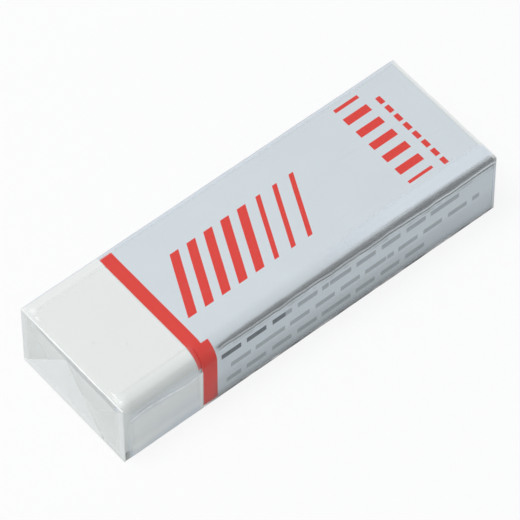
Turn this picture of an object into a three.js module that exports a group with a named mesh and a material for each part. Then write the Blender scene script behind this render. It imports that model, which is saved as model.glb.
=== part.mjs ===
// A block eraser in its card sleeve, overwrapped in clear film with folded ends.
//
// Millimetres. +X runs along the block, from its bare end (front) to its sleeved end (rear). +Y is the
// far long side and -Y the near one, where the card laps. +Z is up. The origin is the middle of the
// rectangle that the wrapped eraser rests on.

import * as THREE from "three";

// Eraser block
const blockLength = 64.7;
const blockWidth = 20.65;
const blockHeight = 11;
const blockEdgeRadius = 0.6;
const lapEdgeRadius = 2.6; // the near top edge, which the lap turns round
const blockEndSoftening = 0.25;

// Card sleeve, one strip wrapped once round the block
const cardThickness = 0.24;
const sleeveLength = 51.65; // at the strip's inner end, where it is longest
const sleeveSetback = 0.2; // from the block's rear end to the strip
const sleeveClearance = 0.04;
const creaseRadius = 0.3; // inside the three creased edges
const mouthSkew = 0.6; // the strip's mouth drifts this far to the rear on its way round

// Lap of the strip over its own start, at the rounded near top edge
const lapOuterEnd = 21.5; // degrees from straight up to the free edge of the outer layer
const lapInnerEnd = 86; // degrees from straight up to the free edge of the inner layer
const glueThickness = 0.04;
const glueGap = 0.015; // from the glue to each layer
const glueSetback = 4; // degrees from the glue to each free edge
const glueEndSetback = 1.5; // from the glue to each end of the sleeve

// Film overwrap
const filmThickness = 0.03;
const layerGap = 0.03; // between neighbouring layers of film, or of film and card
const filmCornerRadius = 0.25; // outside the four long creases
const endClearance = 0.06; // from the block's end to the innermost end fold
const seamLap = 4; // width of the lap seam under the block
const seamFromFar = 9.5; // from the far side to the seam's free edge
const seamJoggle = 1; // length over which the inner layer steps up

// End folds, the same at both ends
const foldGap = 0.07; // from each fold's slanted edge to the line that it shares with its neighbour
const topFlapLength = 5.7;
const bottomFlapLength = 10.3;
const bottomFlapTip = 0.7; // width of the bottom flap at its free edge
const bottomFlapTipFromFar = 9.2; // from the far side to the tip
const bottomFlapNearInset = 4.1; // from the near side to the flap, along its crease

// Heights of the stack, from the ground up
const cardBottom = 2 * (filmThickness + layerGap); // the seam has two layers of film
const blockBottom = cardBottom + cardThickness + sleeveClearance;
const boreTop = blockBottom + blockHeight + sleeveClearance;
const cardTop = boreTop + cardThickness;

// The lap's two layers turn with the block's near top edge
const lapRadius = lapEdgeRadius + sleeveClearance; // inside the inner layer
const lapGap = glueThickness + 2 * glueGap;
const lapInnerRadius = lapRadius + cardThickness;
const lapOuterRadius = lapInnerRadius + lapGap + cardThickness;
const lapCentreZ = boreTop - lapRadius;
const lapTop = lapCentreZ + lapOuterRadius * Math.cos(THREE.MathUtils.degToRad(lapOuterEnd));
const wrapHeight = Math.max(cardTop, lapTop) + layerGap + filmThickness;

// Distances across, from the far side of the wrap to the near one
const filmAndGap = filmThickness + layerGap;
const farStack = filmAndGap + cardThickness + sleeveClearance;
const nearStack = farStack + lapGap + cardThickness;
const wrapWidth = farStack + blockWidth + nearStack;
const farSide = wrapWidth / 2;
const nearSide = -farSide;
const blockCentreY = farSide - farStack - blockWidth / 2;
const lapCentreY = nearSide + filmAndGap + lapOuterRadius;

// Distances along. The inner folds are the tucks and the top flap, the outer fold is the bottom flap
const blockEnd = blockLength / 2;
const innerFoldStart = blockEnd + endClearance;
const outerFoldStart = innerFoldStart + filmThickness + layerGap;
const tubeEnd = innerFoldStart - layerGap;
const sleeveRear = blockEnd - sleeveSetback;
const sleeveMouth = sleeveRear - sleeveLength; // where the strip's inner end starts

// How many flat facets stand in for each rounded part
const creaseFacets = 3;
const lapFacets = 12;
const blockEdgeFacets = 6;

const quarterTurn = 90; // degrees that a sheet turns at each crease

const vinyl = new THREE.MeshStandardMaterial({ color: "#e4e7e5", roughness: 0.75, metalness: 0 });
const card = new THREE.MeshStandardMaterial({ color: "#cbd4db", roughness: 0.45, metalness: 0 });
const glue = new THREE.MeshStandardMaterial({ color: "#e9e4d4", roughness: 0.5, metalness: 0 });
const film = new THREE.MeshStandardMaterial({
  color: "#f4f7f8",
  roughness: 0.08,
  metalness: 0,
  transparent: true,
  opacity: 0.25,
});

// Stations of a bent sheet. Angles run in degrees from straight up towards the far side. Each station
// is a pair of [y, z] points, one on the outer face of the sheet and one on its inner face.
function bend(y, z, outerRadius, thickness, from, to, steps) {
  const stations = [];
  for (let i = 0; i <= steps; i++) {
    const angle = THREE.MathUtils.degToRad(THREE.MathUtils.lerp(from, to, i / steps));
    const at = (radius) => [y + radius * Math.sin(angle), z + radius * Math.cos(angle)];
    stations.push({ outer: at(outerRadius), inner: at(outerRadius - thickness) });
  }
  return stations;
}

// A sheet that follows the stations, from x = front(share) to x = rear(share), where share is the part
// of its way round, from 0 to 1.
function bentSheet(stations, front, rear) {
  const way = [0];
  for (let i = 1; i < stations.length; i++) {
    const [a, b] = [stations[i - 1], stations[i]];
    way.push(way[i - 1] + Math.hypot(b.outer[0] - a.outer[0], b.outer[1] - a.outer[1]));
  }
  const positions = [];
  stations.forEach(({ outer, inner }, i) => {
    const share = way[i] / way.at(-1);
    const ends = [front(share), rear(share)];
    positions.push(ends[0], ...outer, ends[1], ...outer, ends[1], ...inner, ends[0], ...inner);
  });
  const corners = 4;
  const index = [];
  const quad = (a, b, c, d) => index.push(a, b, c, a, c, d);
  for (let i = 0; i < stations.length - 1; i++) {
    for (let k = 0; k < corners; k++) {
      const next = (k + 1) % corners;
      const here = i * corners;
      const there = here + corners;
      quad(here + k, here + next, there + next, there + k);
    }
  }
  const last = (stations.length - 1) * corners;
  quad(3, 2, 1, 0);
  quad(last, last + 1, last + 2, last + 3);
  const geometry = new THREE.BufferGeometry();
  geometry.setAttribute("position", new THREE.Float32BufferAttribute(positions, 3));
  geometry.setIndex(index);
  return geometry;
}

// An outline in y and z, carried along +X
const sectionToPart = new THREE.Matrix4().makeBasis(
  new THREE.Vector3(0, 1, 0),
  new THREE.Vector3(0, 0, 1),
  new THREE.Vector3(1, 0, 0),
);

function along(shape, options) {
  return new THREE.ExtrudeGeometry(shape, options).applyMatrix4(sectionToPart);
}

function named(name, geometry, material) {
  geometry.computeVertexNormals();
  const mesh = new THREE.Mesh(geometry, material);
  mesh.name = name;
  return mesh;
}

// The block's section is a rectangle with one well rounded corner, softened a little at both ends
function eraserBlock() {
  const section = new THREE.Shape();
  const corner = (ySide, zSide, r, start) => {
    const [y, z] = [ySide * (blockWidth / 2 - r), zSide * (blockHeight / 2 - r)];
    section.absarc(y, z, r, start, start + Math.PI / 2);
  };
  corner(1, 1, blockEdgeRadius, 0);
  corner(-1, 1, lapEdgeRadius, Math.PI / 2);
  corner(-1, -1, blockEdgeRadius, Math.PI);
  corner(1, -1, blockEdgeRadius, 1.5 * Math.PI);
  const geometry = along(section, {
    depth: blockLength - 2 * blockEndSoftening,
    bevelThickness: blockEndSoftening,
    bevelSize: blockEndSoftening,
    bevelOffset: -blockEndSoftening,
    bevelSegments: 2,
    curveSegments: blockEdgeFacets,
  });
  const mesh = named("eraser_block", geometry, vinyl);
  mesh.position.set(blockEndSoftening - blockEnd, blockCentreY, blockBottom + blockHeight / 2);
  return mesh;
}

// The strip starts under the lap, crosses the top, goes down the far side, back underneath and up the
// near side, and ends over its own start
function sleeve() {
  const outside = creaseRadius + cardThickness;
  const farY = farSide - filmAndGap - outside;
  const nearY = nearSide + filmAndGap + outside;
  const crease = (y, z, from) =>
    bend(y, z, outside, cardThickness, from, from + quarterTurn, creaseFacets);
  const lap = (radius, from, to) =>
    bend(lapCentreY, lapCentreZ, radius, cardThickness, from, to, lapFacets);
  const stations = [
    ...lap(lapInnerRadius, -lapInnerEnd, 0),
    ...crease(farY, cardTop - outside, 0),
    ...crease(farY, cardBottom + outside, 90),
    ...crease(nearY, cardBottom + outside, 180),
    ...lap(lapOuterRadius, -90, -lapOuterEnd),
  ];
  const mouth = (share) => sleeveMouth + mouthSkew * share;
  return named("card_sleeve", bentSheet(stations, mouth, () => sleeveRear), card);
}

// A thin bead pressed flat between the lap's two layers
function sleeveGlue() {
  const stations = bend(
    lapCentreY,
    lapCentreZ,
    lapInnerRadius + glueGap + glueThickness,
    glueThickness,
    glueSetback - lapInnerEnd,
    -lapOuterEnd - glueSetback,
    lapFacets,
  );
  const front = sleeveMouth + mouthSkew + glueEndSetback;
  const rear = sleeveRear - glueEndSetback;
  return named("sleeve_glue", bentSheet(stations, () => front, () => rear), glue);
}

// The film starts at the seam's free edge underneath, goes round by the near side, the top and the far
// side, and steps up to end inside its own start
function filmTube() {
  const r = filmCornerRadius;
  const flat = (y, z) => ({ outer: [y, z], inner: [y, z + filmThickness] });
  const crease = (y, z, from) =>
    bend(y, z, r, filmThickness, from, from + quarterTurn, creaseFacets);
  const seamEdge = farSide - seamFromFar;
  const stations = [
    flat(seamEdge, 0),
    ...crease(nearSide + r, r, 180),
    ...crease(nearSide + r, wrapHeight - r, 270),
    ...crease(farSide - r, wrapHeight - r, 0),
    ...crease(farSide - r, r, 90),
    flat(seamEdge + layerGap + seamJoggle, 0),
    flat(seamEdge + layerGap, filmAndGap),
    flat(seamEdge - seamLap, filmAndGap),
  ];
  return named("film_tube", bentSheet(stations, () => -tubeEnd, () => tubeEnd), film);
}

// One end's folds, each an outline of [distance from the far side, height]. Two folds share each slanted
// line, and both keep foldGap to it. The top flap's edges run at 45 degrees from the upper corners.
function foldOutlines() {
  const g = foldGap;
  const w = wrapWidth;
  const h = wrapHeight;
  const flapFoot = w - bottomFlapNearInset;
  const tip = { far: bottomFlapTipFromFar, near: bottomFlapTipFromFar + bottomFlapTip };
  const farSlope = tip.far / bottomFlapLength;
  const nearSlope = (tip.near - flapFoot) / bottomFlapLength;
  const farTuckTip = h / (1 + farSlope);
  const underTopFlap = h - topFlapLength - g;
  return {
    top_flap: [
      [g, h],
      [w - g, h],
      [w - topFlapLength - g, h - topFlapLength],
      [topFlapLength + g, h - topFlapLength],
    ],
    bottom_flap: [
      [g, 0],
      [flapFoot - g, 0],
      [tip.near - g, bottomFlapLength],
      [tip.far + g, bottomFlapLength],
    ],
    far_tuck: [
      [0, g / farSlope],
      [farSlope * farTuckTip - g, farTuckTip],
      [0, h - g],
    ],
    near_tuck: [
      [w, 0],
      [w, h - g],
      [w - topFlapLength, underTopFlap],
      [flapFoot + nearSlope * underTopFlap + g, underTopFlap],
      [flapFoot + g, 0],
    ],
  };
}

// The folds of one end: side is -1 at the front and 1 at the rear
function endFolds(end, side) {
  const group = new THREE.Group();
  for (const [name, outline] of Object.entries(foldOutlines())) {
    const section = new THREE.Shape(outline.map(([fromFar, z]) => new THREE.Vector2(farSide - fromFar, z)));
    const mesh = named(`${end}_${name}`, along(section, { depth: filmThickness, bevelEnabled: false }), film);
    const start = name === "bottom_flap" ? outerFoldStart : innerFoldStart;
    mesh.position.x = side < 0 ? -start - filmThickness : start;
    group.add(mesh);
  }
  return group;
}

const part = new THREE.Group();
part.add(eraserBlock(), sleeve(), sleeveGlue(), filmTube(), endFolds("front", -1), endFolds("rear", 1));

export default part;
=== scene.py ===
import math
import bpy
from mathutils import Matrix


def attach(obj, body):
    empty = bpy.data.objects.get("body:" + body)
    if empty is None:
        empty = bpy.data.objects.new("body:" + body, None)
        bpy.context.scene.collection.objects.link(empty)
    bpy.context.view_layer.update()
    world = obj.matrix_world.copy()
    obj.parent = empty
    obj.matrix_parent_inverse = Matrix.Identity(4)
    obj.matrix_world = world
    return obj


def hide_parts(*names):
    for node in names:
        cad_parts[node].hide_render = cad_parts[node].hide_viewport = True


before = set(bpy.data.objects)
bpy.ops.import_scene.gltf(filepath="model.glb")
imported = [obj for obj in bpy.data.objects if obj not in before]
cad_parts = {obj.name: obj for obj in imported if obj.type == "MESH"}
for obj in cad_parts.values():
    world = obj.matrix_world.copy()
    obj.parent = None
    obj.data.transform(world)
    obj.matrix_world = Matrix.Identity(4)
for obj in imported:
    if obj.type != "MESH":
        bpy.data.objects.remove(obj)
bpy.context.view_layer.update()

from types import SimpleNamespace

import bpy
import numpy as np
from mathutils import Matrix, Vector

# A block eraser in its card sleeve, overwrapped in clear film with folded ends.
#
# Shapes are worked out in millimetres in the part's own frame. +X runs from the bare end to the sleeved
# end, +Y is the far long side, -Y is the near one, where the card laps, and +Z is up.

MM = 0.001

# Wrapper
HALF_WIDTH = 10.82
HEIGHT = 11.828
SKIN = 0.004  # the film's surfaces stay this far inside the wrapper's box
FILM = 0.02
FILM_CORNER = 0.25
TUBE_END = 32.27  # where the tube meets the rounded creases of the end folds
INNER_FOLD = 32.435  # outer face of the tucks and of the top flap
OUTER_FOLD = 32.49  # outer face of the bottom flap
FOLD_CREASE = 0.14
SEAM_FREE_EDGE = 1.32
SEAM_LAP = 4.0
SEAM_STEP = 0.06  # how far the seam's inner layer stands above the outer one
SEAM_RISE = (1.1, 0.08)  # where it starts and ends to step up, from the seam's free edge
LAP_CLEARANCE = 0.055  # from the lap to the film that rounds it
SLIDE_CLEARANCE = 0.014  # the least gap from the film to the sliding sleeve

# Block
BLOCK_HALF_LENGTH = 32.35
BLOCK_WIDTH = 20.65
BLOCK_HEIGHT = 11.0
BLOCK_CENTRE_Y = 0.155
BLOCK_BOTTOM = 0.40
BLOCK_EDGE = 0.6
LAP_EDGE = 2.6
BLOCK_END_SOFTENING = 0.3

# Card sleeve
CARD = 0.24
CARD_BOTTOM = 0.12
CARD_TOP = 11.68
CARD_HALF_WIDTH = 10.76
CARD_CREASE = 0.54  # outside
SLEEVE_LENGTH = 51.65
SLEEVE_MOUTH = -19.5
MOUTH_SKEW = 0.6  # how far the mouth drifts to the rear on its way round
LAP_Y = -7.57
LAP_Z = 8.80
LAP_INNER_RADIUS = 2.88
LAP_OUTER_RADIUS = 3.19
LAP_INNER_END = 86.0
LAP_OUTER_END = 21.5
FREE_EDGE = 0.7  # breadth that the film keeps clear of at the lap's free edge

# Print, as places along the strip from its mouth, and across it as y on top and z on the near side
PRINT_BLUR = 0.05
BAND = 2.0
BAND_SPREAD = 0.45  # how much broader the band is at the strip's outer end
BAR_PITCH = 2.9
BAR_SLANT = 0.48
BAR_PIVOT = -4.7  # where across the strip the bars' slant starts
BARS_ACROSS = (-4.6, 5.0)
BROAD_BARS = (3.1, 17.5)
SLENDER_BARS = (17.5, 26.2)
CROSS_PITCH = 2.7
CROSS_ROW = (40.0, 44.2)
CROSS_ROW_ACROSS = (-6.6, 9.4)
DASH_PITCH = 1.9
DASHED_LINE = (45.7, 46.5)
DASHED_LINE_ACROSS = (-7.2, 7.6)
GREY_HALF_HEIGHT = 0.48
GREY_ROWS = (
    # height on the near side, where along the strip the row starts and ends, phase of its dashes
    (8.85, 3.2, 45.8, 2.3),
    (5.75, 3.7, 49.0, 5.1),
    (2.85, 4.0, 39.4, 8.7),
)
HEAVY_HEIGHT = (8.0, 9.7)  # the top row starts darker, up to HEAVY_END
HEAVY_END = 14.3

# Along the film: the stretches of X over which each form comes or goes, then the places of the long
# wrinkle and of the glints on the top's end edge
ROUND_EDGE_STARTS = (-32.1, -30.4)
ROUND_EDGE_ENDS = (-17.5, -16.3)
LONG_CREASE_STARTS = (-17.2, -15.8)
BARE_END_STARTS = (-32.2, -30.0)
BARE_END_ENDS = (-19.9, -18.9)
WRINKLE_STARTS = (-32.0, -30.5)
WRINKLE_ENDS = (-20.5, -18.8)
WRINKLE_X = (-31.8, -28.4, -25.0, -21.5, -19.4)
WRINKLE_Z = (8.6, 9.0, 8.65, 8.05, 8.4)
GLINTS = (
    # x, y, reach along x, reach along y
    (-31.97, 10.4, 0.25, 0.2),
    (-31.45, 9.5, 0.42, 0.45),
    (-31.7, 8.1, 0.15, 0.3),
    (-31.58, -8.0, 0.13, 0.75),
    (-31.5, -9.3, 0.3, 0.22),
)


# Shapes


def smooth(value, low, high):
    """0 below low, 1 above high, and 3t^2 - 2t^3 between them."""
    t = np.clip((value - low) / (high - low), 0, 1)
    return t * t * (3 - 2 * t)


def wander(along, seed, longest, waves=6):
    """A smooth line between about -1 and 1: sines of falling wavelength and height, with seeded phases."""
    chance = np.random.default_rng(seed)
    order = np.arange(1, waves + 1).reshape(-1, *([1] * np.ndim(along)))
    phase = chance.uniform(0, 2 * np.pi, order.shape)
    stretch = chance.uniform(0.8, 1.25, order.shape)
    height = order**-0.8
    sines = height * np.sin(2 * np.pi * along * order * stretch / longest + phase)
    return sines.sum(0) / height.sum() * 1.6


def crumple(u, v, seed, folds, reach, softness=0.12):
    """A faceted sheet between 0 and 1: a sum of straight folds, each the distance to a seeded line,
    sqrt(d^2 + softness^2), with a seeded sign, and levelled at the end."""
    chance = np.random.default_rng(seed)
    shape = (folds,) + (1,) * np.ndim(u)
    angle = chance.uniform(0, np.pi, shape)
    offset = chance.uniform(-reach, reach, shape)
    weight = chance.uniform(0.4, 1.0, shape) * chance.choice([-1, 1], shape)
    distance = u * np.cos(angle) + v * np.sin(angle) - offset
    sheet = (weight * np.sqrt(distance**2 + softness**2)).sum(0)
    return (sheet - sheet.min()) / np.ptp(sheet)


def grid_quads(rows, columns, around=False):
    """Quads over a grid of points, also from the last row to the first where it goes around."""
    index = np.arange(rows * columns).reshape(rows, columns)
    if around:
        index = np.vstack([index, index[:1]])
    corners = [index[:-1, :-1], index[1:, :-1], index[1:, 1:], index[:-1, 1:]]
    return np.stack(corners, -1).reshape(-1, 4)


def normals(grid):
    """Unit normals of a grid of points: the cross product of its two directions."""
    n = np.cross(np.gradient(grid, axis=0), np.gradient(grid, axis=1))
    return n / np.maximum(np.linalg.norm(n, axis=-1, keepdims=True), 1e-12)


def shell(outer, inner):
    """A closed sheet between two grids of points: both grids and a strip round their rim. Gives its
    points, its quads, and how many of the quads are on the outer face, which come first."""
    rows, columns = outer.shape[:2]
    count = rows * columns
    face = grid_quads(rows, columns)
    index = np.arange(count).reshape(rows, columns)
    rim = np.concatenate([index[0, :-1], index[:-1, -1], index[-1, :0:-1], index[:0:-1, 0]])
    after = np.roll(rim, -1)
    strip = np.stack([rim, after, after + count, rim + count], -1)
    quads = np.vstack([face, face[:, ::-1] + count, strip])
    points = np.vstack([outer.reshape(-1, 3), inner.reshape(-1, 3)])
    a, b, _, d = points[face[len(face) // 2]]
    out = points[face[len(face) // 2][0]] - points[face[len(face) // 2][0] + count]
    if np.cross(b - a, d - a) @ out < 0:
        quads = quads[:, ::-1]
    return points, quads, len(face)


def make_piece(name, points, quads, body, node, materials, caps=(), second=None, uv=None, marks=None):
    """A mesh piece in metres. Caps are flat many-sided faces. The quads marked second take the second
    material. uv and marks hold one row or one number for each point."""
    mesh = bpy.data.meshes.new(name)
    mesh.vertices.add(len(points))
    mesh.vertices.foreach_set("co", (points * MM).ravel())
    loops = np.concatenate([quads.ravel(), *caps]).astype(np.int32)
    sizes = np.concatenate([np.full(len(quads), 4), [len(cap) for cap in caps]])
    mesh.loops.add(len(loops))
    mesh.loops.foreach_set("vertex_index", loops)
    mesh.polygons.add(len(sizes))
    mesh.polygons.foreach_set("loop_start", (np.cumsum(sizes) - sizes).astype(np.int32))
    mesh.polygons.foreach_set("use_smooth", sizes == 4)
    for material in materials:
        mesh.materials.append(material)
    if second is not None:
        mesh.polygons.foreach_set("material_index", second.astype(np.int32))
    if uv is not None:
        mesh.uv_layers.new(name="Strip").data.foreach_set("uv", uv[loops].astype(np.float32).ravel())
    for mark, values in (marks or {}).items():
        data = mesh.attributes.new(mark, "FLOAT", "POINT").data
        data.foreach_set("value", values.astype(np.float32).ravel())
    mesh.update(calc_edges=True)
    mesh.validate()
    mesh.set_sharp_from_angle(angle=math.radians(38))
    piece = bpy.data.objects.new(name, mesh)
    bpy.context.scene.collection.objects.link(piece)
    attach(piece, body)
    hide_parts(node)
    return piece


def arc(y, z, radius, start, end, steps):
    """Points on an arc, with angles in degrees from straight up towards the far side. y, z and radius
    are numbers, or rows with one value for each station along X."""
    angle = np.radians(np.linspace(start, end, steps))[:, None]
    return np.stack([y + radius * np.sin(angle), z + radius * np.cos(angle)], -1)


def straight(start, end, steps):
    """Points between two others, without either, and closer together near both."""
    t = np.arange(1, steps + 1) / (steps + 1)
    share = (0.3 * t + 0.7 * (0.5 - 0.5 * np.cos(np.pi * t)))[:, None, None]
    return start[None] * (1 - share) + end[None] * share


def outline(parts, steps):
    """Curved parts one after another, joined by straight stretches with so many points each."""
    line = parts[0]
    for before, after, count in zip(parts, parts[1:], steps):
        line = np.concatenate([line, straight(before[-1], after[0], count), after])
    return line


def carried(x, section):
    """A section's [y, z] points at each station, as [x, y, z] points along X."""
    return np.concatenate([np.broadcast_to(x[None, :, None], section.shape[:2] + (1,)), section], -1)


def eraser_block(material):
    """A rectangle with rounded corners carried along X, whose outline draws in by e(1 - cos t) over the
    last e(1 - sin t) of each end, closed by a flat cap. Its sides swell and sink a little."""
    turn = np.radians(np.linspace(0, 90, 7))
    e = BLOCK_END_SOFTENING
    end_x = BLOCK_HALF_LENGTH - e + e * np.sin(turn)
    middle_x = np.linspace(-BLOCK_HALF_LENGTH + e, BLOCK_HALF_LENGTH - e, 60)[1:-1]
    x = np.concatenate([-end_x[::-1], middle_x, end_x])
    draw_in = e * (1 - np.cos(turn))
    swell = 0.012 * (1 + wander(middle_x, 3, 40, 3))
    inset = np.concatenate([draw_in[::-1], swell, draw_in])

    def corner(y_side, z_side, radius, start):
        y = y_side * (BLOCK_WIDTH / 2 - radius)
        z = z_side * (BLOCK_HEIGHT / 2 - radius)
        return arc(y, z, radius - inset, start, start + 90, 13)

    corners = [
        corner(1, 1, BLOCK_EDGE, 0),
        corner(1, -1, BLOCK_EDGE, 90),
        corner(-1, -1, BLOCK_EDGE, 180),
        corner(-1, 1, LAP_EDGE, 270),
    ]
    last_flat = straight(corners[-1][-1], corners[0][0], 24)
    points = carried(x, np.concatenate([outline(corners, (12, 24, 12)), last_flat]))
    points = points + [0, BLOCK_CENTRE_Y, BLOCK_BOTTOM + BLOCK_HEIGHT / 2]
    rows, columns = points.shape[:2]
    quads = grid_quads(rows, columns, around=True)[:, ::-1]
    index = np.arange(rows * columns).reshape(rows, columns)
    return make_piece("vinyl_block", points.reshape(-1, 3), quads, "wrapped_block", "eraser_block",
                      [material], caps=[index[::-1, 0], index[:, -1]])


def card_section():
    """The strip's section as [y, z] points on its outer face: from the inner layer of the lap over the
    top, down the far side, underneath and up the near side to the outer layer."""
    far = CARD_HALF_WIDTH - CARD_CREASE
    upper = CARD_TOP - CARD_CREASE
    lower = CARD_BOTTOM + CARD_CREASE
    parts = [
        arc(LAP_Y, LAP_Z, LAP_INNER_RADIUS, -LAP_INNER_END, 0, 28),
        arc(far, upper, CARD_CREASE, 0, 90, 9),
        arc(far, lower, CARD_CREASE, 90, 180, 9),
        arc(-far, lower, CARD_CREASE, 180, 270, 9),
        arc(LAP_Y, LAP_Z, LAP_OUTER_RADIUS, -90, -LAP_OUTER_END, 28),
    ]
    return outline(parts, (36, 18, 40, 16))[:, 0]


def card_sleeve(printed, bare):
    """The section carried along X from a mouth that drifts to the rear on the far side and underneath to
    a square rear end, each point set inwards by a slow ripple, and a second grid one card's thickness
    further in."""
    section = card_section()
    way = np.concatenate([[0], np.cumsum(np.linalg.norm(np.diff(section, axis=0), axis=1))])
    share = way / way[-1]
    tangent = np.gradient(section, way, axis=0)
    tangent /= np.linalg.norm(tangent, axis=1, keepdims=True)
    outward = np.stack([-tangent[:, 1], tangent[:, 0]], -1)
    columns, eased, even = 120, 0.35, 0.65
    along = SLEEVE_LENGTH * (0.5 - 0.5 * np.cos(np.linspace(0, np.pi, columns))) * eased
    along += SLEEVE_LENGTH * np.linspace(0, 1, columns) * even
    edge_wave = 0.02 * np.clip(1 + wander(way, 11, 30, 8), 0, None)
    drift = MOUTH_SKEW * smooth(share, 0.35, 0.85)
    x = SLEEVE_MOUTH + along[None] + (drift + edge_wave)[:, None] * (1 - along / SLEEVE_LENGTH)
    flat_part = smooth(way, 4.5, 8) * (1 - smooth(way, way[-1] - 8, way[-1] - 4.5))
    ripple = 1 + wander(x, 12, 45, 4) * wander(way[:, None] + 0 * x, 13, 25, 4)
    ripple = 0.012 * np.clip(ripple, 0, None) * flat_part[:, None]

    def layer(depth):
        yz = section[:, None] - outward[:, None] * (ripple + depth)[..., None]
        return np.concatenate([x[..., None], yz], -1)

    points, quads, printed_faces = shell(layer(0 * ripple), layer(CARD + 0 * ripple))
    # the last strip of quads is the cut edge at the mouth, and ink covers it along the outer lap
    unprinted = np.arange(len(quads)) >= printed_faces
    mouth, outer_lap_quads = len(quads) - (len(section) - 1), 29
    unprinted[mouth : mouth + outer_lap_quads] = False
    uv = np.stack(np.broadcast_arrays(along[None] / SLEEVE_LENGTH, share[:, None]), -1).reshape(-1, 2)
    return make_piece("card_wrap", points, quads, "sleeve", "card_sleeve", [printed, bare],
                      second=unprinted, uv=np.vstack([uv, uv]))


def ridge(distance, width):
    """A line's profile: 1 on it and falling off as exp(-(d / width)^2)."""
    return np.exp(-((distance / width) ** 2))


def glint(x, y, at_x, at_y, reach_x, reach_y):
    """A small bright spot."""
    return ridge(x - at_x, reach_x) * ridge(y - at_y, reach_y)


def film_marks(*layers):
    """Two marks for each point of the film, from layers of how much each covers and its tone: haze, how
    much they cover together, and tone, their mean from 0, dark, to 1, white. The layers are milky film,
    painted light and painted shade. A little pale tone is in the mean everywhere. The second face repeats
    both marks."""
    pale_share, pale_tone = 0.02, 0.8
    clear, tone, total = 1, pale_share * pale_tone, pale_share
    for cover, shade in layers:
        cover = np.clip(cover, 0, 1)
        clear, tone, total = clear * (1 - cover), tone + cover * shade, total + cover
    return {"haze": np.tile((1 - clear).ravel(), 2), "tone": np.tile((tone / total).ravel(), 2)}


def crease_dip(y, side):
    """How far the crease along the top of an end dips: a seeded wave that fades out at both corners."""
    wave = np.clip(1 + wander(y, 41 + side, 8, 7), 0, 2.2)
    return 0.04 * wave * smooth(HALF_WIDTH - 0.3 - np.abs(y), 0, 1.2)


def off_card(y, z):
    """How far a point is outside the sleeve's section: from its round near edge, its flat sides, and the
    lap's free edge, which is taken as FREE_EDGE broad."""
    lap_end = math.radians(LAP_OUTER_END)
    past_round_edge = np.hypot(y - LAP_Y, z - LAP_Z) - LAP_OUTER_RADIUS
    beside_edge = np.abs(y - LAP_Y + LAP_OUTER_RADIUS * math.sin(lap_end)) - FREE_EDGE / 2
    above_edge = z - LAP_Z - LAP_OUTER_RADIUS * math.cos(lap_end)
    past_free_edge = np.hypot(np.maximum(beside_edge, 0), above_edge)
    at_lap = (z > LAP_Z) & (LAP_Y - y > math.tan(lap_end) * (z - LAP_Z))
    past_flats = np.maximum.reduce([np.abs(y) - CARD_HALF_WIDTH, z - CARD_TOP, CARD_BOTTOM - z])
    return np.minimum(np.where(at_lap, past_round_edge, past_flats), past_free_edge)


def film_section(x):
    """The film tube's section at each station of x, as [y, z] points: from the seam's free edge by the
    near side, the top and the far side to the seam's inner edge. Its near top corner is w times the
    sleeve's round edge and 1 - w times a crisp crease, where w is 1 over the bare end and the band."""
    low = 0 * x + SKIN
    far, near, top = HALF_WIDTH - low, low - HALF_WIDTH, HEIGHT - low
    radii = [FILM_CORNER * (1 + 0.2 * wander(x, seed, 13)) for seed in (21, 22, 23, 24)]
    crisp, near_low, far_top, far_low = radii
    seam = SEAM_FREE_EDGE + 0.04 * wander(x, 25, 20)

    def point(y, z):
        return np.stack([y, z], -1)

    # the round edge keeps just clear of the lap, and eases into the flat top past the lap's free edge
    lap_film = LAP_OUTER_RADIUS + LAP_CLEARANCE
    ease = math.radians(24)
    ease_radius = (HEIGHT - SKIN - LAP_Z - lap_film * math.cos(ease)) / (1 - math.cos(ease))
    ease_y = LAP_Y - (lap_film - ease_radius) * math.sin(ease)
    round_corner = np.concatenate([
        arc(low + LAP_Y, low + LAP_Z, lap_film, 270, 336, 22),
        arc(low + ease_y, low + HEIGHT - SKIN - ease_radius, ease_radius - SKIN, 339, 360, 7),
    ])
    # the crisp crease has as many points, so that the two corners can be blended
    drop = np.linspace(1.75, 0.31, 20)[:, None]
    crisp_corner = np.concatenate([
        point(near + 0 * drop, top - drop),
        arc(near + crisp, top - crisp, crisp, 270, 360, 9),
    ])
    roundness = smooth(x, *ROUND_EDGE_STARTS) * (1 - smooth(x, *ROUND_EDGE_ENDS))
    near_top = crisp_corner * (1 - roundness[:, None]) + round_corner * roundness[:, None]
    rise_start, rise_end = SEAM_RISE
    stepped_up = [point(seam + rise_end, low + SEAM_STEP), point(seam - SEAM_LAP, low + SEAM_STEP)]
    parts = [
        point(seam, low)[None],
        arc(near + near_low, low + near_low, near_low, 180, 270, 8),
        near_top,
        arc(far - far_top, top - far_top, far_top, 0, 90, 8),
        arc(far - far_low, low + far_low, far_low, 90, 180, 8),
        np.stack([point(seam + rise_start, low), *stepped_up]),
    ]
    return outline(parts, (12, 24, 50, 16, 10))


def film_places(grid):
    """What both the film tube's shape and its marks depend on, for each point: its coordinates, masks
    from 0 to 1, how far it is from the nearer end, and how far above the near side's long wrinkle."""
    X, Y, Z = np.moveaxis(grid, -1, 0)
    on_near = smooth(-Y, HALF_WIDTH - 3.0, HALF_WIDTH - 2.6) * (Z > 0.1)
    return SimpleNamespace(
        X=X,
        Y=Y,
        Z=Z,
        on_near=on_near,
        top_edge=smooth(Z, HEIGHT - 0.5, HEIGHT - 0.35),
        bare_end=smooth(X, *BARE_END_STARTS) * (1 - smooth(X, *BARE_END_ENDS)),
        sleeved=1 - smooth(-X, 15.2, 17.0),
        near_ends=smooth(np.abs(X), 28.5, 32.0),
        wrinkled=smooth(X, *WRINKLE_STARTS) * (1 - smooth(X, *WRINKLE_ENDS)) * on_near,
        from_end=TUBE_END - np.abs(X),
        off_wrinkle=Z - np.interp(X, WRINKLE_X, WRINKLE_Z),
    )


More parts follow.
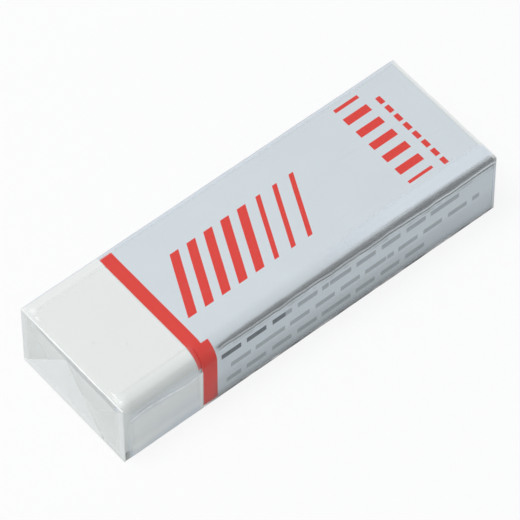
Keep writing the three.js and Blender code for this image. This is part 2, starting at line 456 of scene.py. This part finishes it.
def film_depth(at):
    """How far each point of the tube is set inwards: by slow ripples, a sag and a wrinkle over the bare
    end, the wavering of the long crease, puckers near both ends and the dips of the end creases, but no
    deeper than to the sliding sleeve, and not at all at the seam."""
    on_top = smooth(at.Z, HEIGHT - 0.4, HEIGHT - 0.1)
    corner = smooth(at.Z, 9.5, 11.2) * smooth(-at.Y, 9.2, 10.4)
    ripple = 0.005 * (2 + wander(at.X, 31, 50, 4) + wander(at.X * 0.6 + at.Y + at.Z, 32, 20, 4))
    sag = 0.06 * at.bare_end * on_top * (1 - smooth(-at.Y, 4.0, 8.0))
    waver = 0.09 * (1 + wander(at.X, 35, 19, 7)) * corner * at.sleeved
    furrow = 1 - ridge(at.off_wrinkle, 0.2) + 0.7 * ridge(at.off_wrinkle + 0.4, 0.25)
    wrinkle = 0.018 * at.wrinkled * furrow
    pucker = 0.03 * at.near_ends * crumple(at.X, at.Y * 1.3 + at.Z, 33, 26, 34, 0.2) * (at.Z > 0.3)
    dip = np.where(at.X < 0, crease_dip(at.Y, -1), crease_dip(at.Y, 1))
    dip = dip * (1 - smooth(at.from_end, 0, 1.1)) * on_top
    depth = (ripple + sag + waver + wrinkle + pucker) * smooth(at.from_end, -0.01, 0.5) + dip
    depth = np.clip(depth, 0, np.maximum(off_card(at.Y, at.Z) - FILM - SLIDE_CLEARANCE, 0))
    at_seam = smooth(0.3 - at.Z, 0, 0.2) * (np.abs(at.Y - SEAM_FREE_EDGE) < 7)
    return depth * (1 - at_seam)


def crease_painted_light(at, flicker):
    """Layers of painted light and shade along the long crease over the card: a pale strip of painted light
    and a band of painted shade beside it on top, and below it, on the near side, a painted bright line, a
    dark one and a second bright one, with a soft painted shade round the first."""
    from_crease = at.Y + HALF_WIDTH
    below_crease = HEIGHT - at.Z
    beside = from_crease < 1
    creased = smooth(at.X, *LONG_CREASE_STARTS)
    coming = 0.4 + 0.6 * creased
    line_place = np.interp(at.X, [-16, -2, 8, 18, 28], [0.45, 0.62, 0.68, 0.84, 1.0])
    off_line = below_crease - (line_place + 0.05 * wander(at.X, 40, 7, 6))
    reach = np.interp(at.X, [-17, -14, -2, 8, 20, 30], [0.6, 0.85, 1.0, 1.05, 1.05, 0.85])
    # painted shade: a dark band along the crease on top
    painted_crease_shade = 0.37 + 0.27 * (1 - smooth(from_crease, 0, 1.0)) + 0.06 * flicker
    painted_crease_shade = painted_crease_shade - 0.12 * smooth(below_crease, 0.1, 0.3)
    painted_crease_shade = creased * painted_crease_shade * (1 - smooth(from_crease, reach - 0.55, reach))
    painted_crease_shade = painted_crease_shade * (1 - smooth(off_line, -0.24, -0.1))
    # painted shade in a dark line and painted highlights in bright lines below the crease
    dark_line = 0.84 * ridge(off_line - 0.38, 0.12) + 0.2 * ridge(off_line - 0.9, 0.25) * (1 - flicker)
    line = ridge(off_line, 0.11) * (0.1 + 0.3 * flicker + 0.3 * smooth(at.X, 15, 28))
    second_line = ridge(off_line - 0.66, 0.08) * smooth(wander(at.X, 37, 11, 5), 0.1, 0.6)
    soft_line = ridge(off_line - 0.05, 0.22) * beside * (1 - smooth(at.X, 8, 22))
    # painted light: the card's colour on the flat film over the start of the card's round edge hides its
    # shade
    painted_top_light = smooth(from_crease, reach - 0.1, reach + 0.3) * (1 - smooth(from_crease, 2.6, 3.8))
    return [
        (0.85 * at.top_edge * painted_top_light * smooth(at.X, 0.0, 18.0), 0.69),
        (painted_crease_shade, 0.10),
        (at.sleeved * dark_line * beside * coming, 0.10),
        (0.9 * at.sleeved * line * beside * coming, 0.90),
        (0.4 * at.sleeved * second_line * beside, 0.90),
        (0.35 * creased * soft_line, 0.25),
    ]


def tube_marks(at):
    """The tube's marks: milky where it lies close, with painted light over the bare end's near side, painted
    shade on facets, towards the foot of the near side and along that foot, and painted highlights on its
    creases, wrinkles and glints, with painted shade beside the wrinkle."""
    flicker = np.clip(0.5 + 0.5 * wander(at.X, 36, 9, 7), 0, 1)
    wrinkle_light = at.wrinkled * ridge(at.off_wrinkle, 0.17)
    wrinkle_light = wrinkle_light * np.clip(0.65 + 0.35 * wander(at.X, 38, 6, 5), 0, 1)
    over_vinyl = at.X < SLEEVE_MOUTH
    far_strip = at.top_edge * np.where(over_vinyl, smooth(at.Y, 9.0, 9.6), smooth(at.Y, 10.1, 10.4))
    far_line = ridge(at.Y - HALF_WIDTH + 0.08, 0.1) * at.top_edge
    rear_strip = smooth(at.X, 31.8, 32.0) * (at.Z > 0.3)
    # a pale line of painted light over the gap's shadow and a bright one follow the sleeve's mouth up the
    # near side
    pale_line, bright_line = -19.33, -19.12
    beside_mouth = at.on_near * (1 - smooth(at.Z, 8.3, 8.8))
    low_side = 1 - smooth(at.Z, 8.2, 10.6)
    # painted shade: the near side's grey deepens towards its foot, most in the middle of the card, least
    # over the band
    foot = np.interp(at.Z, [0.5, 1.0, 1.7, 2.8, 4.2, 6.0], [0.30, 0.27, 0.14, 0.10, 0.075, 0.0])
    lengthwise = np.interp(
        at.X, [-30, -19.8, -19.2, -17.3, -16.7, 6, 22, 31], [0.55, 0.8, 0.3, 0.3, 0.85, 1.2, 0.9, 0.5]
    )
    facets = crumple(at.X * 0.8, at.Z + 0.3 * at.X, 45, 9, 24, 0.1)
    rim = 1 - smooth(at.from_end, 0.0, 0.1)
    scuffs = at.near_ends * crumple(at.X, at.Y + at.Z, 34, 30, 34, 0.05) ** 3
    glints = sum(glint(at.X, at.Y, *spot) for spot in GLINTS)
    close = at.bare_end * at.on_near
    return film_marks(
        # milky film in the block's colour low on the bare end's near side, darkened towards the mouth as
        # painted shade
        (0.88 * close * (1 - smooth(at.Z, 1.9, 3.8)), np.interp(at.X, [-32, -20], [0.84, 0.76])),
        # painted light: the bare end's near side is whitened to make it brighter
        (0.5 * at.bare_end * (at.Y < 0) * low_side, 0.93),
        # painted shade on facets of the bare end's near side
        (0.16 * close * facets, 0.3),
        # painted shade towards the foot of the near side
        (at.on_near * foot * lengthwise, 0.05),
        (0.7 * beside_mouth * ridge(at.X - pale_line, 0.2), 0.86),
        (0.65 * beside_mouth * ridge(at.X - bright_line, 0.1), 1.0),
        # painted highlight on the long wrinkle, and painted shade beside it
        (0.85 * wrinkle_light, 1.0),
        (0.32 * at.wrinkled * ridge(at.off_wrinkle - 0.35, 0.14), 0.3),
        (0.42 * at.wrinkled * ridge(at.off_wrinkle + 0.4, 0.17) * smooth(-at.X, 22, 27), 0.3),
        (0.9 * far_strip, np.where(over_vinyl, 0.825, 0.69)),
        (0.22 * far_line, 0.2),
        (0.90 * rear_strip, np.where(at.on_near > 0.5, 0.655, 0.78)),
        # painted highlight along the crease at each end of the top
        (0.75 * rim * at.top_edge * (0.5 + 0.5 * flicker), 1.0),
        (0.8 * glints * (at.Z > HEIGHT - 0.4), 1.0),
        *crease_painted_light(at, flicker),
        (0.18 * scuffs, 1.0),
        # painted shade in a line along the foot of the near side
        (ridge(at.Z, 0.12) * (at.Y < 0) * (0.42 + 0.25 * wander(at.X, 39, 12, 5)), 0.10),
    )


def normals_like(grid, guide):
    """Normals of the grid, turned to the side of the guide's."""
    n = normals(grid)
    return n * np.sign((n * guide).sum(-1, keepdims=True))


def film_tube(material):
    """The film's section carried along X, with more stations near both ends. Every point is set inwards
    by its depth, and a second grid lies one film's thickness further in."""
    close_from, close_stations, even_stations = 30.6, 12, 226
    end_x = np.linspace(close_from, TUBE_END, close_stations)
    middle_x = np.linspace(-close_from, close_from, even_stations)[1:-1]
    x = np.concatenate([-end_x[::-1], middle_x, end_x])
    outer = carried(x, film_section(x))
    out = normals(outer)
    if (out * (outer - [0, 0, HEIGHT / 2])).sum(-1)[40:].mean() < 0:
        out = -out
    places = film_places(outer)
    outer = outer - out * film_depth(places)[..., None]
    points, quads, _ = shell(outer, outer - normals_like(outer, out) * FILM)
    return make_piece("clear_wrap", points, quads, "wrapped_block", "film_tube", [material],
                      marks=tube_marks(places))


# Each fold's outline: how far its two edges stand along the crease, at a distance t from the crease
GAP = 0.07
WIDTH = 2 * HALF_WIDTH
TOP_FLAP = 5.7
BOTTOM_FLAP = 10.3
FLAP_FOOT = WIDTH - 4.1
TIP_FAR, TIP_NEAR = 9.2, 9.9
FAR_SLOPE = TIP_FAR / BOTTOM_FLAP
NEAR_SLOPE = (FLAP_FOOT - TIP_NEAR) / BOTTOM_FLAP
FAR_APEX = HEIGHT / (1 + FAR_SLOPE)
UNDER_TOP_FLAP = HEIGHT - TOP_FLAP - GAP
FAR_TUCK_REACH = FAR_SLOPE * FAR_APEX - GAP
NEAR_TUCK_REACH = WIDTH - FLAP_FOOT - GAP + NEAR_SLOPE * UNDER_TOP_FLAP
TUCK_SHARE = 0.985  # how much of the way to its tip a tuck goes, as the tip itself would be a point


def top_flap_edges(t):
    return t + GAP, WIDTH - t - GAP


def bottom_flap_edges(t):
    return GAP + t * FAR_SLOPE, FLAP_FOOT - GAP - t * NEAR_SLOPE


def far_tuck_edges(t):
    low, high = GAP / FAR_SLOPE, HEIGHT - GAP
    return low + (FAR_APEX - low) * t / FAR_TUCK_REACH, high + (FAR_APEX - high) * t / FAR_TUCK_REACH


def near_tuck_edges(t):
    low = np.maximum(0, (t - (WIDTH - FLAP_FOOT - GAP)) / NEAR_SLOPE)
    return low, np.where(t < TOP_FLAP, HEIGHT - GAP - t, UNDER_TOP_FLAP)


FOLDS = {
    # name: (edges, reach, outer face, how deep it may crumple, film layers)
    "top_flap": (top_flap_edges, TOP_FLAP, INNER_FOLD, 0.030, 1),
    "bottom_flap": (bottom_flap_edges, BOTTOM_FLAP, OUTER_FOLD, 0.022, 2),
    "far_tuck": (far_tuck_edges, FAR_TUCK_REACH * TUCK_SHARE, INNER_FOLD, 0.030, 1),
    "near_tuck": (near_tuck_edges, NEAR_TUCK_REACH * TUCK_SHARE, INNER_FOLD, 0.030, 1),
}


def fold_marks(name, T, place, Y, Z, beside_seam, seed):
    """A fold's marks: its crease carries a painted highlight, film that lies close over the block's edges is
    milky, facets get painted shade, a wedge of painted shade lies under the bright crease of the top flap,
    and painted shade runs along its foot."""
    flicker = np.clip(0.5 + 0.5 * wander(place, seed + 3, 7, 6), 0, 1)
    rim = 1 - smooth(T, 0.03 + 0.07 * flicker, 0.1 + 0.1 * flicker)
    beyond = np.maximum.reduce([smooth(Y, 9.2, 10.0), smooth(-Y, 9.0, 9.9), smooth(-Z, -2.1, -1.2)])
    facets = crumple(T, place, seed + 4, 9, 9, 0.05)
    crumples = crumple(T, place, seed + 2, 24, 12, 0.04) ** 3
    corner_bit = smooth(place, 16.6, 18.5) * (1 - smooth(place, 20.0, 20.8))
    # painted shade: a wedge under the top flap's bright crease
    wedge_foot = np.interp(place, [0, 4, 12, 21], [0.6, 1.0, 1.65, 1.8])
    wedge = smooth(place, 1.0, 5.0) * (1 - smooth(T, wedge_foot - 0.6, wedge_foot)) * (1 - rim)
    wedge = wedge * (name == "top_flap")
    # painted shade along the foot, deeper by the near corner
    at_foot = ridge(Z - 0.2, 0.14)
    marks = [
        (0.88 * beyond, 0.90 if name == "bottom_flap" else 0.82),
        (0.30 - 0.25 * wedge, 0.94),
        # painted shade on facets
        (0.06 * facets, 0.15),
        (0.12 * crumples, 1.0),
        (at_foot * (0.25 + 0.45 * corner_bit * (name in ("bottom_flap", "near_tuck"))), 0.1),
    ]
    if name == "top_flap":
        # painted highlight on the crease, and the wedge of painted shade under it
        marks += [((0.45 + 0.45 * flicker) * rim, 1.0), (0.13 * wedge, 0.1)]
    else:
        # painted highlight on the crease
        marks += [(0.25 * rim * flicker, 1.0)]
    if name == "bottom_flap":
        # painted shade beside the seam
        seam_shade = 0.025 * np.exp(-np.maximum(beside_seam, 0) / 0.7) * smooth(beside_seam, -0.05, 0.05)
        marks += [(0.42 + 0 * T, 0.98), (seam_shade, 0.2)]
    return film_marks(*marks)


def end_fold(end, name, side, material, seed):
    """One folded panel. It leaves the crease in a quarter turn, t = r(1 - cos a) and x = X - r + r sin a,
    then runs flat to its free edge, set inwards by crumples. It lies between the two edge lines of its
    outline, and in the turn also short of both by r(1 - sin a), so that opened panels stay apart."""
    edges, reach, face, deep, _ = FOLDS[name]
    turn_rows, flat_rows, columns = 8, 45, 60
    turn = np.radians(np.linspace(0, 90, turn_rows))
    flat = np.linspace(FOLD_CREASE, reach, flat_rows + 1)[1:]
    t = np.concatenate([FOLD_CREASE * (1 - np.cos(turn)), flat])
    back = np.concatenate([FOLD_CREASE * (1 - np.sin(turn)), np.zeros(flat_rows)])
    across = np.linspace(0, 1, columns)
    low, high = edges(t)
    low, high = low + back, high - back
    place = low[:, None] + (high - low)[:, None] * across[None]
    T = np.broadcast_to(t[:, None], place.shape)
    height = {"top_flap": 0, "bottom_flap": 0.03}.get(name, 0.01)
    crease_wave = height * np.clip(1 + wander(place, seed, 9, 7), 0, 2) * np.exp(-T / 1.2)
    dents = deep * crumple(T, place, seed + 1, 22, 12, 0.1) * smooth(T, 0.1, 2.5)
    beside_seam = place - (WIDTH / 2 - SEAM_FREE_EDGE + 0.085 * T)
    if name == "bottom_flap":
        dents = dents + 0.012 * smooth(beside_seam, -0.04, 0.04)
    x = face - back[:, None] - dents - 0.1 * crease_wave * smooth(T, 0, 0.2)
    inward = T + SKIN + crease_wave * smooth(T, 0.0, 0.15)
    if name == "top_flap":
        inward = inward + crease_dip(HALF_WIDTH - place, side) * (1 - smooth(T, 0.2, 1.5))

    def placed(x, inward):
        if name == "top_flap":
            y, z = HALF_WIDTH - place, HEIGHT - inward
        elif name == "bottom_flap":
            y, z = HALF_WIDTH - place, inward
        elif name == "far_tuck":
            y, z = HALF_WIDTH - inward, place
        else:
            y, z = -HALF_WIDTH + inward, np.maximum(place, SKIN)
        return np.stack(np.broadcast_arrays(side * x, y, z), -1)

    outer = placed(x, inward)
    # the panel faces away from a place inside the wrapper
    centre = placed(x * 0 + 10, T * 0 + 6)
    out = normals_like(outer, outer - centre)
    points, quads, _ = shell(outer, outer - out * FILM)
    marks = fold_marks(name, T, place, outer[..., 1], outer[..., 2], beside_seam, seed)
    node = f"{end}_{name}"
    return make_piece(f"{node}_film", points, quads, node, node, [material], marks=marks)


# Finishes


class Wire:
    """A socket of a node tree. Operators on it add Math nodes, so that a pattern reads as an expression."""

    def __init__(self, tree, socket=None):
        self.tree = tree
        self.socket = socket

    def node(self, kind, settings=None, sockets=None, output=0):
        """Adds any node: its settings first, then values or links for its sockets. Gives one output."""
        node = self.tree.nodes.new(kind)
        for key, value in (settings or {}).items():
            if key == "stops":
                stops = node.color_ramp.elements
                while len(stops) < len(value):
                    stops.new(0.5)
                for stop, (position, colour) in zip(stops, value):
                    stop.position = position
                    stop.color = colour
            else:
                setattr(node, key, value)
        for key, value in (sockets or {}).items():
            if isinstance(value, Wire):
                self.tree.links.new(value.socket, node.inputs[key])
            else:
                node.inputs[key].default_value = value
        return Wire(self.tree, node.outputs[output]) if node.outputs else None

    def math(self, operation, *others):
        """A Math node with this wire as its first value."""
        return self.node("ShaderNodeMath", {"operation": operation}, dict(enumerate((self, *others))))

    def __add__(self, other):
        return self.math("ADD", other)

    def __sub__(self, other):
        return self.math("SUBTRACT", other)

    def __rsub__(self, other):
        return self * -1 + other

    def __mul__(self, other):
        return self.math("MULTIPLY", other)

    def __truediv__(self, other):
        return self.math("DIVIDE", other)

    def __pow__(self, other):
        return self.math("POWER", other)

    def __mod__(self, other):
        return self.math("FLOORED_MODULO", other)

    __radd__ = __add__
    __rmul__ = __mul__

    def between(self, low, high, blur):
        """1 from low to high, with both borders softened over blur."""
        return self.step(low, blur) * (1 - self.step(high, blur))

    def step(self, place, blur):
        """0 below place and 1 above it."""
        return self.node("ShaderNodeMapRange", {"interpolation_type": "SMOOTHSTEP"},
                         {0: self, 1: place - blur / 2, 2: place + blur / 2})

    def mix(self, first, second):
        """Two colours, with this wire as the share of the second."""
        return self.node("ShaderNodeMix", {"data_type": "RGBA"}, {0: self, 6: first, 7: second}, 2)


def new_finish(name):
    """An empty material and a wire to start its nodes from."""
    material = bpy.data.materials.new(name)
    material.use_nodes = True
    material.node_tree.nodes.clear()
    return material, Wire(material.node_tree)


def close_finish(wire, shader):
    wire.node("ShaderNodeOutputMaterial", None, {"Surface": shader})


def noise(wire, scale, detail=3.0, roughness=0.55, stretch=(1, 1, 1), turn=(0, 0, 0)):
    """Noise on the piece's own coordinates, from 0 to 1. scale is in ripples per metre."""
    place = wire.node("ShaderNodeTexCoord", output="Object")
    place = wire.node("ShaderNodeMapping", None, {"Vector": place, "Scale": stretch, "Rotation": turn})
    return wire.node("ShaderNodeTexNoise", None,
                     {"Vector": place, "Scale": scale, "Detail": detail, "Roughness": roughness})


def bump(wire, height, depth, strength=1.0):
    """A normal from a height between 0 and 1 that stands for depth, in metres."""
    return wire.node("ShaderNodeBump", None, {"Height": height, "Distance": depth, "Strength": strength})


def vinyl_finish():
    """Off-white vinyl: faint cloudy mottling, a fine matt grain and a few pores. The upper half of its
    round near edge carries painted light, a paler colour that keeps it as bright as the top."""
    material, w = new_finish("vinyl")
    place = w.node("ShaderNodeTexCoord", output="Object")
    x, y, z = (w.node("ShaderNodeSeparateXYZ", None, {0: place}, axis) / MM for axis in range(3))
    from_middle = x.math("ABSOLUTE")
    # painted light: the upper half of the round near edge, away from the ends, is painted paler
    painted_light_edge = (1 - y.step(-8.0, 0.9)) * y.step(-9.4, 0.5) * z.step(10.0, 0.4)
    painted_light_edge = painted_light_edge * (1 - from_middle.step(31.9, 0.3))
    cloud = noise(w, 90, 3)
    grain = noise(w, 2600, 2)
    colour = cloud.mix((0.77, 0.775, 0.76, 1), (0.81, 0.81, 0.795, 1))
    # the paler colour on that edge is painted light
    colour = painted_light_edge.mix(colour, (0.945, 0.95, 0.935, 1))
    fleck = noise(w, 900, 0).step(0.84, 0.03)
    colour = (fleck * 0.3).mix(colour, (0.42, 0.42, 0.45, 1))
    height = grain * 0.5 + noise(w, 500, 4) * 0.5
    surface = w.node("ShaderNodeBsdfPrincipled", None, {
        "Base Color": colour,
        "Roughness": 0.48 + 0.14 * noise(w, 240, 3),
        "Normal": bump(w, height, 0.00003, 0.5),
        "IOR": 1.5,
    })
    close_finish(w, surface)
    return material


def bare_card_finish():
    """The card's uncoated side and its cut edges: white pulp with fibres."""
    material, w = new_finish("bare_card")
    fibre = noise(w, 1500, 5, 0.7, (1, 0.25, 0.25), (0.2, 0.1, 0.4))
    colour = fibre.mix((0.74, 0.75, 0.74, 1), (0.86, 0.865, 0.86, 1))
    surface = w.node("ShaderNodeBsdfPrincipled", None, {
        "Base Color": colour,
        "Roughness": 0.8,
        "Normal": bump(w, fibre, 0.00004, 0.6),
    })
    close_finish(w, surface)
    return material


def printed_card_finish():
    """Pale blue-grey coated card: a red band at the mouth, plain red bars on top, rows of grey dashes on
    the near side. The pattern follows the strip, with its length in u and its girth in v."""
    material, w = new_finish("printed_card")
    section = card_section()
    girth = np.linalg.norm(np.diff(section, axis=0), axis=1).sum()
    uv = w.node("ShaderNodeUVMap", {"uv_map": "Strip"})
    split = w.node("ShaderNodeSeparateXYZ", None, {0: uv})
    along = split * SLEEVE_LENGTH
    share = Wire(w.tree, split.socket.node.outputs[1])
    way = share * girth
    lap_arc = math.radians(LAP_INNER_END) * LAP_INNER_RADIUS
    across = way - (lap_arc - LAP_Y)  # y on the top face
    top_breadth, sharp = 19, 0.02
    on_top = way.between(0, lap_arc + top_breadth, sharp)
    lap_outer = math.radians(90 - LAP_OUTER_END) * LAP_OUTER_RADIUS
    up = way - (girth - lap_outer - LAP_Z)  # z on the near side
    on_side = way.step(girth - lap_outer - LAP_Z + 0.6, sharp)

    blur = PRINT_BLUR
    band = 1 - (along - share.step(0.6, 0.5) * BAND_SPREAD).step(BAND, blur)
    # slanted bars along the top: broad ones, then slender ones
    slanted = along - (across - BAR_PIVOT) * BAR_SLANT
    rows = across.between(*BARS_ACROSS, blur)
    broad = (slanted % BAR_PITCH).between(0.2, 1.7, blur) * slanted.between(*BROAD_BARS, blur)
    slender = (slanted % BAR_PITCH).between(0.55, 1.35, blur) * slanted.between(*SLENDER_BARS, blur)
    bars = (broad + slender) * rows * on_top
    # a cross row of short bars near the rear, with a plain dashed line beside it
    short = (across % CROSS_PITCH).between(0.7, 2.0, blur) * across.between(*CROSS_ROW_ACROSS, blur)
    cross_row = short * along.between(*CROSS_ROW, blur) * on_top
    dash = (across % DASH_PITCH).between(0.3, 1.6, blur) * across.between(*DASHED_LINE_ACROSS, blur)
    dashes = dash * along.between(*DASHED_LINE, blur) * on_top
    red = (band + bars + cross_row + dashes).math("MINIMUM", 1.0)

    grey = None
    for height, first, last, phase in GREY_ROWS:
        beat = (along * 1.31 + phase).math("SINE") + (along * 2.93 + phase).math("SINE") * 0.7
        dashed = beat.step(-0.75, 0.12) * along.between(first, last, blur)
        row = up.between(height - GREY_HALF_HEIGHT, height + GREY_HALF_HEIGHT, blur) * dashed
        grey = row if grey is None else grey + row
    heavy = up.between(*HEAVY_HEIGHT, blur) * (1 - along.step(HEAVY_END, 0.1))
    grey = grey * on_side * (0.42 + heavy * 0.45)

    cloud = noise(w, 160, 4)
    fibre = noise(w, 1400, 4, 0.65, (1, 0.35, 0.35), (0.1, 0.3, 0.2))
    paper = cloud.mix((0.625, 0.665, 0.705, 1), (0.655, 0.70, 0.74, 1))
    paper = (fibre * 0.12).mix(paper, (0.70, 0.72, 0.73, 1))
    ink = (grey * (0.85 + 0.15 * fibre)).mix(paper, (0.05, 0.06, 0.075, 1))
    red_ink = (fibre * 0.5).mix((0.75, 0.066, 0.056, 1), (0.70, 0.060, 0.050, 1))
    colour = red.mix(ink, red_ink)
    surface = w.node("ShaderNodeBsdfPrincipled", None, {
        "Base Color": colour,
        "Metallic": 0.15 * (1 - red) * (1 - grey),
        "Roughness": 0.42 + 0.08 * cloud,
        "Specular IOR Level": 0.1,
        "Normal": bump(w, fibre + red * 0.6, 0.000012, 0.5),
    })
    close_finish(w, surface)
    return material


def glue_finish():
    """A thin dried bead of white glue."""
    material, w = new_finish("dried_glue")
    surface = w.node("ShaderNodeBsdfPrincipled", None, {
        "Base Color": noise(w, 600, 3).mix((0.74, 0.70, 0.58, 1), (0.86, 0.83, 0.74, 1)),
        "Roughness": 0.35 + 0.2 * noise(w, 900, 2),
    })
    close_finish(w, surface)
    return material


def film_finish(name, layers):
    """Clear film. It shows what is behind it, less what it mirrors, 0.003 + 0.08 (1 - cos)^5 for each
    face and layer. Its haze, which also carries painted light and painted shade, covers a share of that,
    dark to white by its tone, and being thin it lets most light through to what lies under it."""
    material, w = new_finish(name)
    crinkle = noise(w, 260, 4, 0.5, (0.5, 1, 1))
    normal = bump(w, crinkle, 0.00006, 0.35)
    facing = w.node("ShaderNodeLayerWeight", None, {"Blend": 0.5, "Normal": normal}, "Facing")
    mirror = 0.003 + 0.08 * facing**5
    mirror = 1 - (1 - mirror) ** layers
    clear = w.node("ShaderNodeBsdfTransparent", None, {"Color": (0.99, 0.995, 0.995, 1)})
    gloss = w.node("ShaderNodeBsdfPrincipled", None, {
        "Base Color": (0.97, 0.98, 0.985, 1),
        "Metallic": 1.0,
        "Roughness": 0.09,
        "Normal": normal,
    })
    film = w.node("ShaderNodeMixShader", None, {0: mirror, 1: clear, 2: gloss})
    # the haze mark holds milky film as well as painted light and painted shade
    haze = w.node("ShaderNodeAttribute", {"attribute_name": "haze"}, None, "Fac")
    tone = w.node("ShaderNodeAttribute", {"attribute_name": "tone"}, None, "Fac")
    stops = [
        (0.0, (0.05, 0.055, 0.06, 1)),
        (0.58, (0.52, 0.53, 0.53, 1)),
        (0.66, (0.63, 0.68, 0.745, 1)),
        (0.70, (0.66, 0.71, 0.765, 1)),
        (0.77, (0.745, 0.76, 0.755, 1)),
        (0.82, (0.79, 0.81, 0.80, 1)),
        (1.0, (0.97, 0.985, 0.98, 1)),
    ]
    # this shader shows the haze mark's tones: milky film, painted highlights and painted shade
    milk_and_painted_light = w.node("ShaderNodeBsdfPrincipled", None, {
        "Base Color": w.node("ShaderNodeValToRGB", {"stops": stops}, {"Fac": tone}),
        "Roughness": 0.3,
    })
    scratches = noise(w, 700, 5, 0.6, (0.2, 1.6, 1.6), (0, 0, 0.5)).step(0.66, 0.1)
    shadow = w.node("ShaderNodeLightPath", output="Is Shadow Ray")
    bounce = w.node("ShaderNodeLightPath", output="Is Diffuse Ray")
    share = (haze + 0.015 * scratches).math("MINIMUM", 1.0) * (1 - 0.97 * (shadow + bounce))
    close_finish(w, w.node("ShaderNodeMixShader", None, {0: share, 1: film, 2: milk_and_painted_light}))
    return material


# The object

vinyl = vinyl_finish()
printed_card = printed_card_finish()
bare_card = bare_card_finish()
film_single = film_finish("clear_film", 1)
film_double = film_finish("clear_film_doubled", 2)

eraser_block(vinyl)
card_sleeve(printed_card, bare_card)
film_tube(film_single)
for end, side, seed in (("front", -1, 100), ("rear", 1, 200)):
    for number, name in enumerate(FOLDS):
        film = film_double if FOLDS[name][4] == 2 else film_single
        end_fold(end, name, side, film, seed + 10 * number)

glue_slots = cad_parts["sleeve_glue"].data.materials
glue_slots.clear()
glue_slots.append(glue_finish())


# Floor, light and camera


def seen_directly(wire):
    """1 for what the camera sees, also in gloss and through clear pieces, and 0 for the light on surfaces."""
    kinds = ("Camera", "Glossy", "Transmission")
    camera, glossy, clear = (wire.node("ShaderNodeLightPath", output=f"Is {kind} Ray") for kind in kinds)
    return (camera + glossy + clear).math("MINIMUM", 1.0)


def white_for_camera(wire, lit, share):
    """The lit surface, and for the camera a share of plain white instead."""
    path = seen_directly(wire)
    white = wire.node("ShaderNodeEmission", None, {"Color": (1, 1, 1, 1), "Strength": 1.0})
    return wire.node("ShaderNodeMixShader", None, {0: path * share, 1: lit, 2: white})


def add_floor():
    """A wide square just under the wrapper."""
    half = 1.5
    z = -0.00004
    mesh = bpy.data.meshes.new("floor")
    corners = [(-half, -half, z), (half, -half, z), (half, half, z), (-half, half, z)]
    mesh.from_pydata(corners, [], [(0, 1, 2, 3)])
    floor = bpy.data.objects.new("floor", mesh)
    bpy.context.scene.collection.objects.link(floor)
    material, w = new_finish("floor_paper")
    lit = w.node("ShaderNodeBsdfDiffuse", None, {"Color": (0.81, 0.83, 0.84, 1)})
    close_finish(w, white_for_camera(w, lit, 0.86))
    mesh.materials.append(material)


def add_lamp(name, direction, distance, size, power):
    """A square soft lamp that faces the object from a direction."""
    lamp = bpy.data.lights.new(name, "AREA")
    lamp.shape = "SQUARE"
    lamp.size = size
    lamp.energy = power
    lamp.color = (1.0, 0.97, 0.955)
    toward = Vector(direction).normalized()
    holder = bpy.data.objects.new(name, lamp)
    turned = toward.to_track_quat("Z", "Y").to_matrix().to_4x4()
    holder.matrix_world = Matrix.Translation(toward * distance) @ turned
    bpy.context.scene.collection.objects.link(holder)


def add_world(strength):
    """Even dim light all round, and plain white for the camera."""
    world = bpy.data.worlds.new("surroundings")
    world.use_nodes = True
    world.node_tree.nodes.clear()
    w = Wire(world.node_tree)
    dim = w.node("ShaderNodeBackground", None, {"Color": (0.945, 0.985, 1, 1), "Strength": strength})
    white = w.node("ShaderNodeBackground", None, {"Color": (1, 1, 1, 1), "Strength": 1.0})
    shown = w.node("ShaderNodeMixShader", None, {0: seen_directly(w), 1: dim, 2: white})
    w.node("ShaderNodeOutputWorld", None, {"Surface": shown})
    bpy.context.scene.world = world


def add_camera():
    """The photograph's viewpoint, by azimuth, elevation, roll and distance from a point on the object."""
    azimuth, elevation, roll = (math.radians(angle) for angle in (-39.629, 54.693, -0.139))
    aim = Vector((-0.417, -0.239, 5.924)) * MM
    distance = 672.17
    focal_pixels, picture_pixels, sensor_width = 5000, 520, 36
    back = Vector((
        math.sin(azimuth) * math.cos(elevation),
        -math.cos(azimuth) * math.cos(elevation),
        math.sin(elevation),
    ))
    right = Vector((0, 0, 1)).cross(back).normalized()
    up = back.cross(right)
    right, up = right * math.cos(roll) + up * math.sin(roll), up * math.cos(roll) - right * math.sin(roll)
    eye = aim + back * distance * MM
    data = bpy.data.cameras.new("camera")
    data.lens = focal_pixels / picture_pixels * sensor_width
    data.clip_start = 0.01
    camera = bpy.data.objects.new("camera", data)
    camera.matrix_world = Matrix.Translation(eye) @ Matrix((right, up, back)).transposed().to_4x4()
    bpy.context.scene.collection.objects.link(camera)
    bpy.context.scene.camera = camera


add_floor()
add_lamp("key_lamp", direction=(-0.31, 0.20, 0.93), distance=0.75, size=0.32, power=2.75)
add_world(strength=0.575)
add_camera()
bpy.context.scene.view_settings.view_transform = "Standard"
